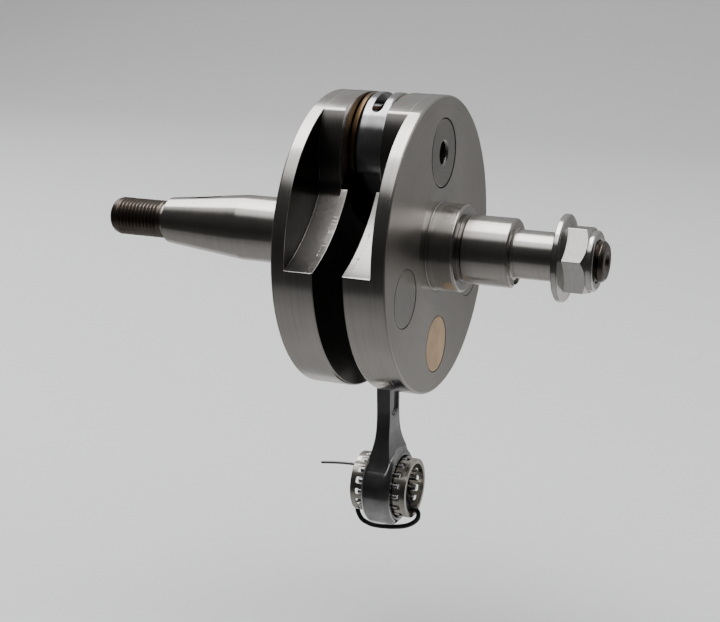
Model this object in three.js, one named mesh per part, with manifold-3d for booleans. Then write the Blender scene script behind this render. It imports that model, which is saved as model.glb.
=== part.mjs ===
// A built-up crankshaft of a small single-cylinder two-stroke engine: two crank halves pressed on a crankpin,
// and a one-piece connecting rod on a caged needle bearing, with a second needle bearing in its small end.
// Millimetres, +Z up. The crank axis is X, with the drive side at +X and the flywheel side at -X.
// The origin is on the crank axis, midway between the two webs.
import * as THREE from "three";
import { mergeVertices } from "three/addons/utils/BufferGeometryUtils.js";
import Module from "manifold-3d";

const wasm = await Module();
wasm.setup();

// ---- driving dimensions -------------------------------------------------------------------------
const STROKE = 54;
const ROD_LENGTH = 105; // between the two eye centres
const PIN_LEAN = 4.5; // degrees that the crankpin leans from straight up, towards +Y
const PRESS_GAP = 0.05; // radial gap drawn between pieces that are pressed together

// The webs. Faces are given as distances along X from the middle of the crank.
const WEB_RADIUS = 43.5;
const WEB_OUTER_FACE = 16.8;
const POCKET_FLOOR = 12.7;
const BOSS_FACE = 6.2;
const COUNTERWEIGHT_FACE = 4.3;
const WEB_CHAMFER = 0.5;
const BOSS_RADIUS = 22.3; // about the crankpin
const RECESS_RADIUS = 22.5; // about the crankpin, cut in the counterweight to clear the big end
const LEDGE_RADIUS = 48; // the hollow upper edge of the counterweight, on each side of the boss
const LEDGE_RIM_ANGLE = 94.5; // degrees from the crankpin's direction to where that edge meets the rim
const LEDGE_HORN_ANGLE = 116.5; // degrees, about the crankpin, to where it meets the recess
const POCKET_CORNER_RADIUS = 6;

const PIN_RADIUS = 10;
const PIN_BORE_RADIUS = 3.25;
const PLUG_RADIUS = 8.25;
const PLUG_DEPTH = 9;
const PLUG_CIRCLE = 29.2;
const PLUG_SPREAD = 68; // degrees between the middle plug and each outer one

// The flywheel-side shaft.
const FLYWHEEL_SEAT = { end: 46, radius: 10 };
const TAPER = { end: 72.5, radius: 7.1 };
const FLYWHEEL_THREAD = { start: 74, end: 92.5, radius: 5.9, round: 2.4 };
const FLYWHEEL_KEY_SLOT = { x: -60, width: 4, radius: 6.5, height: 11.8 };

// The drive-side shaft.
const COLLAR = { end: 24.8, radius: 12.75 };
const RELIEF = { end: 25.8, radius: 9.4 };
const DRIVE_SEAT = { end: 39.9, radius: 10, chamfer: 0.5 };
const CLUTCH_SEAT = { end: 52.9, radius: 7 };
const DRIVE_THREAD = { end: 66, radius: 5.9 };
const SEAT_KEYWAY = { length: 6, width: 4, depth: 2.5 };
const CENTRE_HOLE = { radius: 2.2, depth: 3.8 };

const NUT = {
  start: 53,
  flangeRadius: 12.5,
  flangeThickness: 1.8,
  coneHeight: 1.2,
  acrossFlats: 18,
  hexEnd: 61.9,
  collarRadius: 8.6,
  end: 63.7,
  boreRadius: 6.1,
  turn: 21.5, // degrees
};

// The connecting rod.
const BIG_EYE = { radius: 16.5, width: 8.6, bore: 13.06, chamfer: 0.6 };
const SMALL_EYE = { radius: 12.3, width: 9.4, bore: 9.56, chamfer: 1.4 };
const SHANK = { thickness: 4.4, halfWidthTop: 5.4, halfWidthBottom: 4.2, flareTop: 20, flareBottom: 30 };
const SHANK_SWELL = { top: 20, bottom: 32 }; // radii with which the shank thickens into the eyes
const SHANK_HOLLOW = { depth: 0.7, border: 1.6, gap: 11 };
const OIL_SLOT = { width: 3.2, length: 22 };

// The two needle bearings and the thrust washers.
const BIG_BEARING = {
  rollers: 14,
  rollerRadius: 1.45,
  rollerLength: 6.2,
  pitch: 11.5,
  inner: 10.6,
  outer: 12.65,
  width: 8,
  window: [6.4, 3.05],
};
const SMALL_BEARING = {
  rollers: 16,
  rollerRadius: 0.95,
  rollerLength: 12.8,
  pitch: 8.5,
  inner: 7.65,
  outer: 9.2,
  width: 18,
  window: [14.6, 2.05],
};
const WASHER = { inner: 10.4, outer: 16.2, face: 4.45, thickness: 1.5 };

const WIRE = { radius: 0.75, bareRadius: 0.45, bareEnd: -21.5, joint: -7.5, inBore: 6.5, entry: -24 };

const STEEL = { color: 0x9b9996, roughness: 0.3, metalness: 1 };
const BRIGHT_STEEL = { color: 0xc6c5c3, roughness: 0.2, metalness: 1 };
const ROD_STEEL = { color: 0x6f7072, roughness: 0.25, metalness: 1 };
const BRONZE = { color: 0x9c6f3e, roughness: 0.35, metalness: 1 };
const TAN_PLUG = { color: 0xb2987e, roughness: 0.55, metalness: 0.2 };
const BLACK_COVER = { color: 0x10161a, roughness: 0.45, metalness: 0 };

const WEB_SEGMENTS = 72;
const SHAFT_SEGMENTS = 36;
const EYE_SEGMENTS = 56;
const ROLLER_SEGMENTS = 10;

// ---- helpers ------------------------------------------------------------------------------------
const radians = THREE.MathUtils.degToRad;
const THROW = STROKE / 2;

// A closed three.js geometry as a solid that can be cut and joined.
function solid(geometry) {
  const bare = geometry.index ? geometry.toNonIndexed() : geometry.clone();
  bare.deleteAttribute("normal");
  bare.deleteAttribute("uv");
  const merged = mergeVertices(bare, 1e-4);
  const vertProperties = new Float32Array(merged.attributes.position.array);
  const triVerts = new Uint32Array(merged.index.array);
  return new wasm.Manifold(new wasm.Mesh({ numProp: 3, vertProperties, triVerts }));
}

// A solid as a named mesh with its own material.
function piece(name, body, look) {
  const { vertProperties, triVerts } = body.getMesh();
  const geometry = new THREE.BufferGeometry();
  geometry.setAttribute("position", new THREE.BufferAttribute(vertProperties, 3));
  geometry.setIndex(new THREE.BufferAttribute(triVerts, 1));
  geometry.computeVertexNormals();
  const mesh = new THREE.Mesh(geometry, new THREE.MeshStandardMaterial(look));
  mesh.name = name;
  return mesh;
}

// A solid of revolution about a line along X through (y, z). The profile lists [x, radius] in order.
function turned(profile, segments = SHAFT_SEGMENTS, [y, z] = [0, 0]) {
  const rising = profile[0][0] < profile.at(-1)[0] ? profile : [...profile].reverse();
  const outline = [[rising[0][0], 0], ...rising, [rising.at(-1)[0], 0]];
  const points = outline.map(([x, radius]) => new THREE.Vector2(radius, x));
  const lathe = new THREE.LatheGeometry(points, segments);
  return solid(lathe.rotateZ(-Math.PI / 2).translate(0, y, z));
}

function cylinder(from, to, radius, segments, centre) {
  return turned([[from, radius], [to, radius]], segments, centre);
}

function chamferedCylinder(from, to, radius, chamfer, segments, centre) {
  const profile = [
    [from, radius - chamfer],
    [from + chamfer, radius],
    [to - chamfer, radius],
    [to, radius - chamfer],
  ];
  return turned(profile, segments, centre);
}

function ring(from, to, inner, outer, segments = EYE_SEGMENTS, centre = [0, 0]) {
  const hole = cylinder(from - 1, to + 1, inner, segments, centre);
  return cylinder(from, to, outer, segments, centre).subtract(hole);
}

// An outline of [y, z] points, pushed along X between two distances in either order.
function plate(outline, a, b) {
  const shape = new THREE.Shape(outline.map(([y, z]) => new THREE.Vector2(y, z)));
  const geometry = new THREE.ExtrudeGeometry(shape, { depth: Math.abs(b - a), bevelEnabled: false });
  const yzx = new THREE.Matrix4().set(0, 0, 1, Math.min(a, b), 1, 0, 0, 0, 0, 1, 0, 0, 0, 0, 0, 1);
  return solid(geometry.applyMatrix4(yzx));
}

function box(size, centre, turnAboutX = 0) {
  return solid(new THREE.BoxGeometry(...size).translate(...centre).rotateX(turnAboutX));
}

// Points on an arc in the (y, z) plane, with angles in radians from +Y towards +Z.
function arc([y, z], radius, from, to, steps) {
  return Array.from({ length: steps + 1 }, (_, i) => {
    const angle = from + ((to - from) * i) / steps;
    return [y + radius * Math.cos(angle), z + radius * Math.sin(angle)];
  });
}

function angleTo([y0, z0], [y1, z1]) {
  return Math.atan2(z1 - z0, y1 - y0);
}

// The lower of the two points that lie at distance r0 from p0 and r1 from p1.
function meeting(p0, r0, p1, r1) {
  const apart = Math.hypot(p1[0] - p0[0], p1[1] - p0[1]);
  const along = (r0 ** 2 - r1 ** 2 + apart ** 2) / (2 * apart);
  const across = Math.sqrt(r0 ** 2 - along ** 2);
  const [uy, uz] = [(p1[0] - p0[0]) / apart, (p1[1] - p0[1]) / apart];
  return [p0[0] + along * uy + across * uz, p0[1] + along * uz - across * uy];
}

// ---- crank halves -------------------------------------------------------------------------------
// They are drawn with the crankpin straight up, and the whole crank is then leaned over by PIN_LEAN.
const PIN_PLACE = [0, THROW];

// The ledge on the +Y side: where it meets the rim and the recess, and the centre of its arc.
function ledge() {
  const rim = radians(LEDGE_RIM_ANGLE);
  const horn = radians(LEDGE_HORN_ANGLE);
  const rimPoint = [WEB_RADIUS * Math.sin(rim), WEB_RADIUS * Math.cos(rim)];
  const hornPoint = [RECESS_RADIUS * Math.sin(horn), THROW + RECESS_RADIUS * Math.cos(horn)];
  const half = Math.hypot(hornPoint[0] - rimPoint[0], hornPoint[1] - rimPoint[1]) / 2;
  const rise = Math.sqrt(LEDGE_RADIUS ** 2 - half ** 2);
  const [my, mz] = [(rimPoint[0] + hornPoint[0]) / 2, (rimPoint[1] + hornPoint[1]) / 2];
  const outward = [(rimPoint[1] - hornPoint[1]) / (2 * half), (rimPoint[0] - hornPoint[0]) / (2 * half)];
  const centre = [my - rise * outward[0], mz + rise * outward[1]];
  return { rimPoint, hornPoint, centre };
}

function mirrored(outline, hand) {
  return outline.map(([y, z]) => [hand * y, z]);
}

// Everything above the counterweight's upper edge, as far as the crankpin.
function aboveCounterweight() {
  const { rimPoint, hornPoint, centre } = ledge();
  const from = angleTo(centre, rimPoint);
  const to = angleTo(centre, hornPoint);
  const beyond = WEB_RADIUS * 1.3;
  return [
    [beyond, rimPoint[1] - 4],
    ...arc(centre, LEDGE_RADIUS, from, to, 10),
    PIN_PLACE,
    [0, beyond],
    [beyond, beyond],
  ];
}

// The lightening pocket beside the boss, with a round corner at its foot.
function pocket() {
  const { rimPoint, centre } = ledge();
  const inside = LEDGE_RADIUS - POCKET_CORNER_RADIUS;
  const corner = meeting(PIN_PLACE, BOSS_RADIUS + POCKET_CORNER_RADIUS, centre, inside);
  const ledgeEnd = angleTo(centre, corner);
  const bossStart = angleTo(PIN_PLACE, corner);
  const beyond = WEB_RADIUS * 1.3;
  return [
    [beyond, rimPoint[1] - 4],
    ...arc(centre, LEDGE_RADIUS, angleTo(centre, rimPoint), ledgeEnd, 7),
    ...arc(corner, POCKET_CORNER_RADIUS, ledgeEnd, bossStart - Math.PI, 6).slice(1),
    ...arc(PIN_PLACE, BOSS_RADIUS, bossStart, radians(50), 10).slice(1),
    [BOSS_RADIUS * Math.cos(radians(50)), beyond],
    [beyond, beyond],
  ];
}

function plugPlaces() {
  return [-PLUG_SPREAD, 0, PLUG_SPREAD].map((spread) => {
    const angle = radians(180 + spread);
    return [PLUG_CIRCLE * Math.sin(angle), PLUG_CIRCLE * Math.cos(angle)];
  });
}

function web(side) {
  const outside = side * WEB_OUTER_FACE;
  const open = side * (COUNTERWEIGHT_FACE - 2);
  const profile = [
    [side * COUNTERWEIGHT_FACE, WEB_RADIUS - WEB_CHAMFER],
    [side * (COUNTERWEIGHT_FACE + WEB_CHAMFER), WEB_RADIUS],
    [outside - side * WEB_CHAMFER, WEB_RADIUS],
    [outside, WEB_RADIUS - WEB_CHAMFER],
  ];
  let body = turned(profile, WEB_SEGMENTS);
  for (const hand of [-1, 1]) {
    body = body
      .subtract(plate(mirrored(aboveCounterweight(), hand), open, side * BOSS_FACE))
      .subtract(plate(mirrored(pocket(), hand), open, side * POCKET_FLOOR));
  }
  const holeEnd = side * (WEB_OUTER_FACE + 2);
  body = body
    .subtract(cylinder(open, side * BOSS_FACE, RECESS_RADIUS, EYE_SEGMENTS, PIN_PLACE))
    .subtract(cylinder(open, holeEnd, PIN_RADIUS + PRESS_GAP, SHAFT_SEGMENTS, PIN_PLACE));
  const plugFloor = side * (WEB_OUTER_FACE - PLUG_DEPTH);
  for (const place of plugPlaces()) {
    body = body.subtract(cylinder(plugFloor, holeEnd, PLUG_RADIUS + PRESS_GAP, SHAFT_SEGMENTS, place));
  }
  return body;
}

// The 60 degree hole that a centre runs in, at a shaft's end.
function centreHole(end) {
  const side = Math.sign(end);
  return turned([[end + side * 0.5, CENTRE_HOLE.radius * 1.13], [end - side * CENTRE_HOLE.depth, 0.01]], 20);
}

function flywheelShaft() {
  const { start, end, radius, round } = FLYWHEEL_THREAD;
  return turned([
    [-WEB_OUTER_FACE + 1, FLYWHEEL_SEAT.radius],
    [-FLYWHEEL_SEAT.end, FLYWHEEL_SEAT.radius],
    [-TAPER.end, TAPER.radius],
    [-TAPER.end, radius - 0.5],
    [-start, radius - 0.5],
    [-start - 0.5, radius],
    [-end + round, radius],
    [-end + round * 0.45, radius - 0.5],
    [-end + round * 0.12, radius - 1.3],
    [-end, radius - 2.2],
  ]).subtract(centreHole(-end));
}

function driveShaft() {
  const { chamfer } = DRIVE_SEAT;
  return turned([
    [WEB_OUTER_FACE - 1, COLLAR.radius],
    [COLLAR.end - 0.4, COLLAR.radius],
    [COLLAR.end, COLLAR.radius - 0.4],
    [COLLAR.end, RELIEF.radius],
    [RELIEF.end, RELIEF.radius],
    [RELIEF.end, DRIVE_SEAT.radius - chamfer],
    [RELIEF.end + chamfer, DRIVE_SEAT.radius],
    [DRIVE_SEAT.end - chamfer, DRIVE_SEAT.radius],
    [DRIVE_SEAT.end, DRIVE_SEAT.radius - chamfer],
    [DRIVE_SEAT.end, CLUTCH_SEAT.radius],
    [CLUTCH_SEAT.end, CLUTCH_SEAT.radius],
    [CLUTCH_SEAT.end, DRIVE_THREAD.radius],
    [DRIVE_THREAD.end - 1, DRIVE_THREAD.radius],
    [DRIVE_THREAD.end, DRIVE_THREAD.radius - 1],
  ]).subtract(centreHole(DRIVE_THREAD.end));
}

// The flywheel side has a half-round slot for a key in its taper, at the back.
function flywheelHalf() {
  const { x, width, radius, height } = FLYWHEEL_KEY_SLOT;
  const disc = new THREE.CylinderGeometry(radius, radius, width, 28);
  const slot = solid(disc.rotateX(Math.PI / 2).translate(x, height, 0));
  return web(-1).add(flywheelShaft()).subtract(slot);
}

// The drive side has a keyway at the bottom of its bearing seat, open at the end.
function driveHalf() {
  const { length, width, depth } = SEAT_KEYWAY;
  const centre = [DRIVE_SEAT.end + 0.5 - length / 2, 0, -DRIVE_SEAT.radius];
  const keyway = box([length + 1, width, 2 * depth], centre, radians(PIN_LEAN));
  return web(1).add(driveShaft()).subtract(keyway);
}

function crankpin() {
  const end = WEB_OUTER_FACE - 0.05;
  const hole = cylinder(-end - 1, end + 1, PIN_BORE_RADIUS, 20, PIN_PLACE);
  return chamferedCylinder(-end, end, PIN_RADIUS, 0.3, SHAFT_SEGMENTS, PIN_PLACE).subtract(hole);
}

function balancePlug(side, place) {
  const inner = side * (WEB_OUTER_FACE - PLUG_DEPTH + PRESS_GAP);
  const outer = side * (WEB_OUTER_FACE - 0.05);
  return cylinder(inner, outer, PLUG_RADIUS, SHAFT_SEGMENTS, place);
}

function flangeNut() {
  const { start, flangeRadius, flangeThickness, coneHeight, acrossFlats, hexEnd, collarRadius, end } = NUT;
  const flat = acrossFlats / 2;
  const corner = flat / Math.cos(Math.PI / 6);
  const flangeEnd = start + flangeThickness;
  const flange = turned(
    [
      [start, flangeRadius],
      [flangeEnd, flangeRadius],
      [flangeEnd + coneHeight, flat],
    ],
    EYE_SEGMENTS,
  );
  const prism = new THREE.CylinderGeometry(corner, corner, hexEnd - start - 0.5, 6);
  const upright = prism.rotateZ(-Math.PI / 2).rotateX(radians(NUT.turn));
  const hexagon = solid(upright.translate((hexEnd + start + 0.5) / 2, 0, 0));
  const rounded = turned([[start, corner + 1], [hexEnd - 1.3, corner + 0.2], [hexEnd, flat]], EYE_SEGMENTS);
  const collar = chamferedCylinder(hexEnd - 1, end, collarRadius, 0.7);
  const bore = cylinder(start - 1, end + 1, NUT.boreRadius);
  return flange.add(hexagon.intersect(rounded)).add(collar).subtract(bore);
}

// ---- connecting rod -----------------------------------------------------------------------------
// It hangs straight down. Its own zero is the big end's centre, with the small end at -Z.
const SMALL_END_PLACE = [0, -ROD_LENGTH];

// The +Y half of the shank's outline, between two widths, flared into both eyes.
function shankOutline() {
  const { halfWidthTop, halfWidthBottom, flareTop, flareBottom } = SHANK;
  const flare = (eyeRadius, halfWidth, radius) => {
    const across = halfWidth + radius;
    return { across, along: Math.sqrt((eyeRadius + radius) ** 2 - across ** 2) };
  };
  const low = flare(SMALL_EYE.radius, halfWidthBottom, flareBottom);
  const high = flare(BIG_EYE.radius, halfWidthTop, flareTop);
  const lowCentre = [low.across, -ROD_LENGTH + low.along];
  const highCentre = [high.across, -high.along];
  return [
    SMALL_END_PLACE,
    ...arc(lowCentre, flareBottom, angleTo(lowCentre, SMALL_END_PLACE) + 2 * Math.PI, Math.PI, 8),
    ...arc(highCentre, flareTop, Math.PI, angleTo(highCentre, [0, 0]), 8),
    [0, 0],
  ];
}

function bothSides(half) {
  return [...half, ...mirrored(half, -1).reverse().slice(1, -1)];
}

// The shank's outline seen along Y, which swells from its own thickness to the flat of each eye's rim.
function shankSide() {
  const half = SHANK.thickness / 2;
  const rim = ({ width, chamfer }) => width / 2 - chamfer;
  const swell = (eye, radius) => {
    const reach = Math.acos(1 - (rim(eye) - half) / radius);
    return { reach, rise: radius * Math.sin(reach) };
  };
  const low = swell(SMALL_EYE, SHANK_SWELL.bottom);
  const high = swell(BIG_EYE, SHANK_SWELL.top);
  const lowCentre = [half + SHANK_SWELL.bottom, -ROD_LENGTH + SMALL_EYE.radius - 1 + low.rise];
  const highCentre = [half + SHANK_SWELL.top, -BIG_EYE.radius + 1 - high.rise];
  return [
    SMALL_END_PLACE,
    [rim(SMALL_EYE), -ROD_LENGTH],
    ...arc(lowCentre, SHANK_SWELL.bottom, Math.PI + low.reach, Math.PI, 6),
    ...arc(highCentre, SHANK_SWELL.top, Math.PI, Math.PI - high.reach, 6),
    [rim(BIG_EYE), 0],
    [0, 0],
  ];
}

function wholeShank() {
  const wide = SMALL_EYE.width / 2 + 1;
  const shape = new THREE.Shape(bothSides(shankSide()).map(([x, z]) => new THREE.Vector2(x, z)));
  const depth = 2 * SMALL_EYE.radius + 8;
  const geometry = new THREE.ExtrudeGeometry(shape, { depth, bevelEnabled: false });
  const side = solid(geometry.rotateX(Math.PI / 2).translate(0, depth / 2, 0));
  return plate(bothSides(shankOutline()), -wide, wide).intersect(side);
}

// One side's long shallow hollow, which gives the shank its I section.
function shankHollow(side) {
  const { border, gap, depth } = SHANK_HOLLOW;
  const topRadius = SHANK.halfWidthTop - border;
  const bottomRadius = SHANK.halfWidthBottom - border;
  const top = [0, -BIG_EYE.radius - gap - topRadius];
  const bottom = [0, -ROD_LENGTH + SMALL_EYE.radius + gap + bottomRadius];
  const outline = [
    ...arc(top, topRadius, 0, Math.PI, 8),
    ...arc(bottom, bottomRadius, Math.PI, 2 * Math.PI, 8),
  ];
  const face = SHANK.thickness / 2;
  return plate(outline, side * (face - depth), side * (face + 1));
}

function connectingRod() {
  const eye = ({ radius, width, chamfer }, centre) =>
    chamferedCylinder(-width / 2, width / 2, radius, chamfer, EYE_SEGMENTS, centre);
  const { width, length } = OIL_SLOT;
  const slot = new THREE.Shape();
  slot.absarc(0, length / 2 - width / 2, width / 2, 0, Math.PI);
  slot.absarc(0, width / 2 - length / 2, width / 2, Math.PI, 2 * Math.PI);
  const options = { depth: BIG_EYE.radius, bevelEnabled: false, curveSegments: 6 };
  const slotTool = solid(new THREE.ExtrudeGeometry(slot, options).translate(0, 0, BIG_EYE.bore / 3));
  return wholeShank()
    .add(eye(BIG_EYE, [0, 0]))
    .add(eye(SMALL_EYE, SMALL_END_PLACE))
    .subtract(shankHollow(-1))
    .subtract(shankHollow(1))
    .subtract(cylinder(-9, 9, BIG_EYE.bore, EYE_SEGMENTS))
    .subtract(cylinder(-9, 9, SMALL_EYE.bore, EYE_SEGMENTS, SMALL_END_PLACE))
    .subtract(slotTool);
}

// ---- bearings, washers and wire -----------------------------------------------------------------
function rollerAngle(bearing, index) {
  return (2 * Math.PI * index) / bearing.rollers;
}

function cage(bearing) {
  const { width, inner, outer, pitch, rollers } = bearing;
  let body = ring(-width / 2, width / 2, inner, outer);
  for (let i = 0; i < rollers; i++) {
    body = body.subtract(box([...bearing.window, 6], [0, 0, pitch], rollerAngle(bearing, i)));
  }
  return body;
}

function roller(bearing, index) {
  const angle = rollerAngle(bearing, index);
  const centre = [-bearing.pitch * Math.sin(angle), bearing.pitch * Math.cos(angle)];
  const half = bearing.rollerLength / 2;
  return chamferedCylinder(-half, half, bearing.rollerRadius, 0.2, ROLLER_SEGMENTS, centre);
}

function thrustWasher(side) {
  const near = side * WASHER.face;
  const far = side * (WASHER.face + WASHER.thickness);
  return ring(Math.min(near, far), Math.max(near, far), WASHER.inner, WASHER.outer);
}

function roundWire(points, radius, steps) {
  const section = new THREE.Shape();
  const sides = 8;
  for (let i = 0; i < sides; i++) {
    const angle = (2 * Math.PI * i) / sides;
    section[i ? "lineTo" : "moveTo"](radius * Math.cos(angle), radius * Math.sin(angle));
  }
  section.closePath();
  const route = points.map(([x, y, z]) => new THREE.Vector3(x, y, z));
  const extrudePath = new THREE.CatmullRomCurve3(route, false, "centripetal");
  return solid(new THREE.ExtrudeGeometry(section, { steps, extrudePath, bevelEnabled: false }));
}

// The wire that holds the loose bearing in the small end. It winds half a turn along the wall of the bore,
// leaves at the drive side, passes under the eye and ends inside the bore's other mouth.
function wireRoute() {
  const { joint, inBore } = WIRE;
  const steps = 8;
  const mouth = SMALL_BEARING.width / 2;
  const start = joint + 1.5;
  const entry = radians(WIRE.entry);
  const inside = (x, angle) => [x, inBore * Math.sin(angle), inBore * Math.cos(angle)];
  const wound = Array.from({ length: steps + 1 }, (_, i) => {
    return inside(start + ((mouth - 1.6 - start) * i) / steps, entry + ((Math.PI - entry) * i) / steps);
  });
  return [
    inside(joint, entry),
    ...wound,
    [mouth + 0.2, 0, -6.85],
    [mouth + 1.2, 0, -8.2],
    [mouth + 0.9, 0, -10.2],
    [mouth - 1, 0, -12.1],
    [mouth - 4, 0, -13.5],
    [0, 0, -14.5],
    [4 - mouth, 0, -14.7],
    [0.6 - mouth, 0, -13.6],
    [-mouth - 0.9, 0, -11.4],
    [-mouth - 1.3, 0, -9],
    [-mouth - 0.2, 0, -6.85],
    [1.6 - mouth, 0, -inBore],
    [3.6 - mouth, 0, -inBore],
  ];
}

function bareWireEnd() {
  const { joint, inBore, bareEnd, bareRadius, entry } = WIRE;
  const gap = 0.1;
  const y = inBore * Math.sin(radians(entry));
  const z = inBore * Math.cos(radians(entry));
  const route = [
    [joint - gap, y, z],
    [joint - 4, y, z],
    [(joint + bareEnd) / 2 - 2, y, z - 0.4],
    [bareEnd, y, z - 1.1],
  ];
  return roundWire(route, bareRadius, 12);
}

// ---- assembly -----------------------------------------------------------------------------------
const SIDES = { flywheel_side: -1, drive_side: 1 };
const PLUG_NAMES = ["rear", "middle", "front"];

function numbered(name, index) {
  return `${name}_${String(index + 1).padStart(2, "0")}`;
}

function addBearing(group, name, bearing, cageLook) {
  group.add(piece(`${name}_cage`, cage(bearing), cageLook));
  for (let i = 0; i < bearing.rollers; i++) {
    group.add(piece(numbered(`${name}_roller`, i), roller(bearing, i), BRIGHT_STEEL));
  }
}

const crank = new THREE.Group();
crank.rotation.x = -radians(PIN_LEAN);
crank.add(piece("flywheel_side_crank_half", flywheelHalf(), STEEL));
crank.add(piece("drive_side_crank_half", driveHalf(), STEEL));
crank.add(piece("crankpin", crankpin(), STEEL));
crank.add(piece("flange_nut", flangeNut(), BRIGHT_STEEL));
for (const [sideName, side] of Object.entries(SIDES)) {
  plugPlaces().forEach((place, i) => {
    const look = PLUG_NAMES[i] === "middle" ? TAN_PLUG : STEEL;
    crank.add(piece(`${sideName}_balance_plug_${PLUG_NAMES[i]}`, balancePlug(side, place), look));
  });
}

const smallEnd = new THREE.Group();
smallEnd.position.set(0, ...SMALL_END_PLACE);
addBearing(smallEnd, "small_end", SMALL_BEARING, BRIGHT_STEEL);
smallEnd.add(piece("small_end_retaining_wire", roundWire(wireRoute(), WIRE.radius, 80), BLACK_COVER));
smallEnd.add(piece("retaining_wire_bare_end", bareWireEnd(), BRIGHT_STEEL));

const bigEnd = new THREE.Group();
const lean = radians(PIN_LEAN);
bigEnd.position.set(0, THROW * Math.sin(lean), THROW * Math.cos(lean));
bigEnd.add(piece("connecting_rod", connectingRod(), ROD_STEEL));
addBearing(bigEnd, "big_end", BIG_BEARING, BRONZE);
for (const [sideName, side] of Object.entries(SIDES)) {
  bigEnd.add(piece(`${sideName}_thrust_washer`, thrustWasher(side), BRONZE));
}
bigEnd.add(smallEnd);

const crankshaft = new THREE.Group();
crankshaft.add(crank, bigEnd);

export default crankshaft;
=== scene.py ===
"""A built-up two-stroke crankshaft with its connecting rod: the visual model, floor, light and camera."""

import math

import bmesh
import bpy
from mathutils import Matrix, Vector


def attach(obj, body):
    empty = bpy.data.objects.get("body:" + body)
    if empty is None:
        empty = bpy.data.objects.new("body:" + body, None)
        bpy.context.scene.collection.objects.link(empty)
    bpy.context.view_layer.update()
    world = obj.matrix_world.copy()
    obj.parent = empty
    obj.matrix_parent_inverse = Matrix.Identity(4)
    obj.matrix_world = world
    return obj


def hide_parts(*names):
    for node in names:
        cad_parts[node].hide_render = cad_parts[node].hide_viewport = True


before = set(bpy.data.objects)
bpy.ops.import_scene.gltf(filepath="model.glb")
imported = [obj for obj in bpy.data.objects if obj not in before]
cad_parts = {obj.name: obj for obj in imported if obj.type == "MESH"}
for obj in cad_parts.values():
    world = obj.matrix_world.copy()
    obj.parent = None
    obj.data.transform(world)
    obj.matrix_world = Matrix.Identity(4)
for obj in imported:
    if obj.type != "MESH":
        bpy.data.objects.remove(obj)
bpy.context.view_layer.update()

# ---- dimensions, in millimetres, in the crank's own frame: X is the crank axis -------------------
MM = 0.001
THROW = 27.0
PIN_LEAN = 4.5
ROD_LENGTH = 105.0
WEB_RADIUS = 43.5
WEB_OUTER_FACE = 16.8
WEB_CHAMFER = 0.5
POCKET_FLOOR = 12.7
BOSS_FACE = 6.2
COUNTERWEIGHT_FACE = 4.3
BOSS_RADIUS = 22.3
RECESS_RADIUS = 22.5
LEDGE_RADIUS = 48.0
LEDGE_RIM_ANGLE = 94.5
LEDGE_HORN_ANGLE = 116.5
POCKET_CORNER_RADIUS = 6.0
PIN_RADIUS = 10.0
PIN_BORE_RADIUS = 3.25
PLUG_RADIUS = 8.25
PLUG_DEPTH = 9.0
PLUG_CIRCLE = 29.2
PLUG_SPREAD = 68.0
PRESS_GAP = 0.05
THREAD_PITCH = 1.25
THREAD_DEPTH = 0.68
NUT_TURN = 21.5
NUT_FLAT = 9.0  # from the axis to a flat
BIG_EYE = {"radius": 16.5, "width": 8.6, "bore": 13.06, "chamfer": 0.6}
SMALL_EYE = {"radius": 12.3, "width": 9.4, "bore": 9.56, "chamfer": 1.4}
SHANK_HALF_THICKNESS = 2.2
SHANK_HALF_WIDTH = {"top": 5.4, "bottom": 4.2}
SHANK_FLARE = {"top": 20.0, "bottom": 30.0}  # radii with which the shank widens into the eyes
SHANK_SWELL = {"top": 20.0, "bottom": 32.0}  # radii with which it thickens into them
SHANK_HOLLOW = {"depth": 0.7, "border": 1.6, "gap": 11}
OIL_SLOT = {"length": 22, "radius": 1.6}
WOODRUFF = {"radius": 6.5, "half_width": 2, "x": -60, "height": 11.8}
BIG_BEARING = {
    "rollers": 14, "roller": 1.45, "length": 6.2, "pitch": 11.5,
    "inner": 10.6, "outer": 12.65, "width": 8.0, "window": (6.4, 3.05),
}
SMALL_BEARING = {
    "rollers": 16, "roller": 0.95, "length": 12.8, "pitch": 8.5,
    "inner": 7.65, "outer": 9.2, "width": 18.0, "window": (14.6, 2.05),
}
WASHER = {"inner": 10.4, "outer": 16.2, "near": 4.45, "far": 5.95}
WIRE = {
    "radius": 0.75, "bare_radius": 0.45, "bare_end": -21.5,
    "joint": -7.5, "in_bore": 6.5, "entry": -24.0,
}

ROUND = 144  # segments round a web
FINE = 96  # segments round a shaft
PIN_PLACE = (0.0, THROW)
SIDES = {"flywheel_side": -1, "drive_side": 1}


# ---- mesh helpers --------------------------------------------------------------------------------
def solid(verts, faces):
    """A closed mesh object, with its faces turned outward."""
    mesh = bpy.data.meshes.new("tool")
    mesh.from_pydata(verts, [], faces)
    bm = bmesh.new()
    bm.from_mesh(mesh)
    bmesh.ops.recalc_face_normals(bm, faces=bm.faces)
    bm.to_mesh(mesh)
    bm.free()
    made = bpy.data.objects.new("tool", mesh)
    bpy.context.scene.collection.objects.link(made)
    return made


def softened(profile, radius, steps=3):
    """The profile with its corners rounded."""
    out = [tuple(profile[0])]
    for before, corner, after in zip(profile, profile[1:], profile[2:]):
        b, c, a = Vector(before), Vector(corner), Vector(after)
        reach = min(radius, (b - c).length * 0.45, (a - c).length * 0.45)
        p = c + (b - c).normalized() * reach
        q = c + (a - c).normalized() * reach
        for i in range(steps + 1):
            t = i / steps
            out.append(tuple(p * (1 - t) ** 2 + c * 2 * t * (1 - t) + q * t * t))
    out.append(tuple(profile[-1]))
    return out


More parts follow.
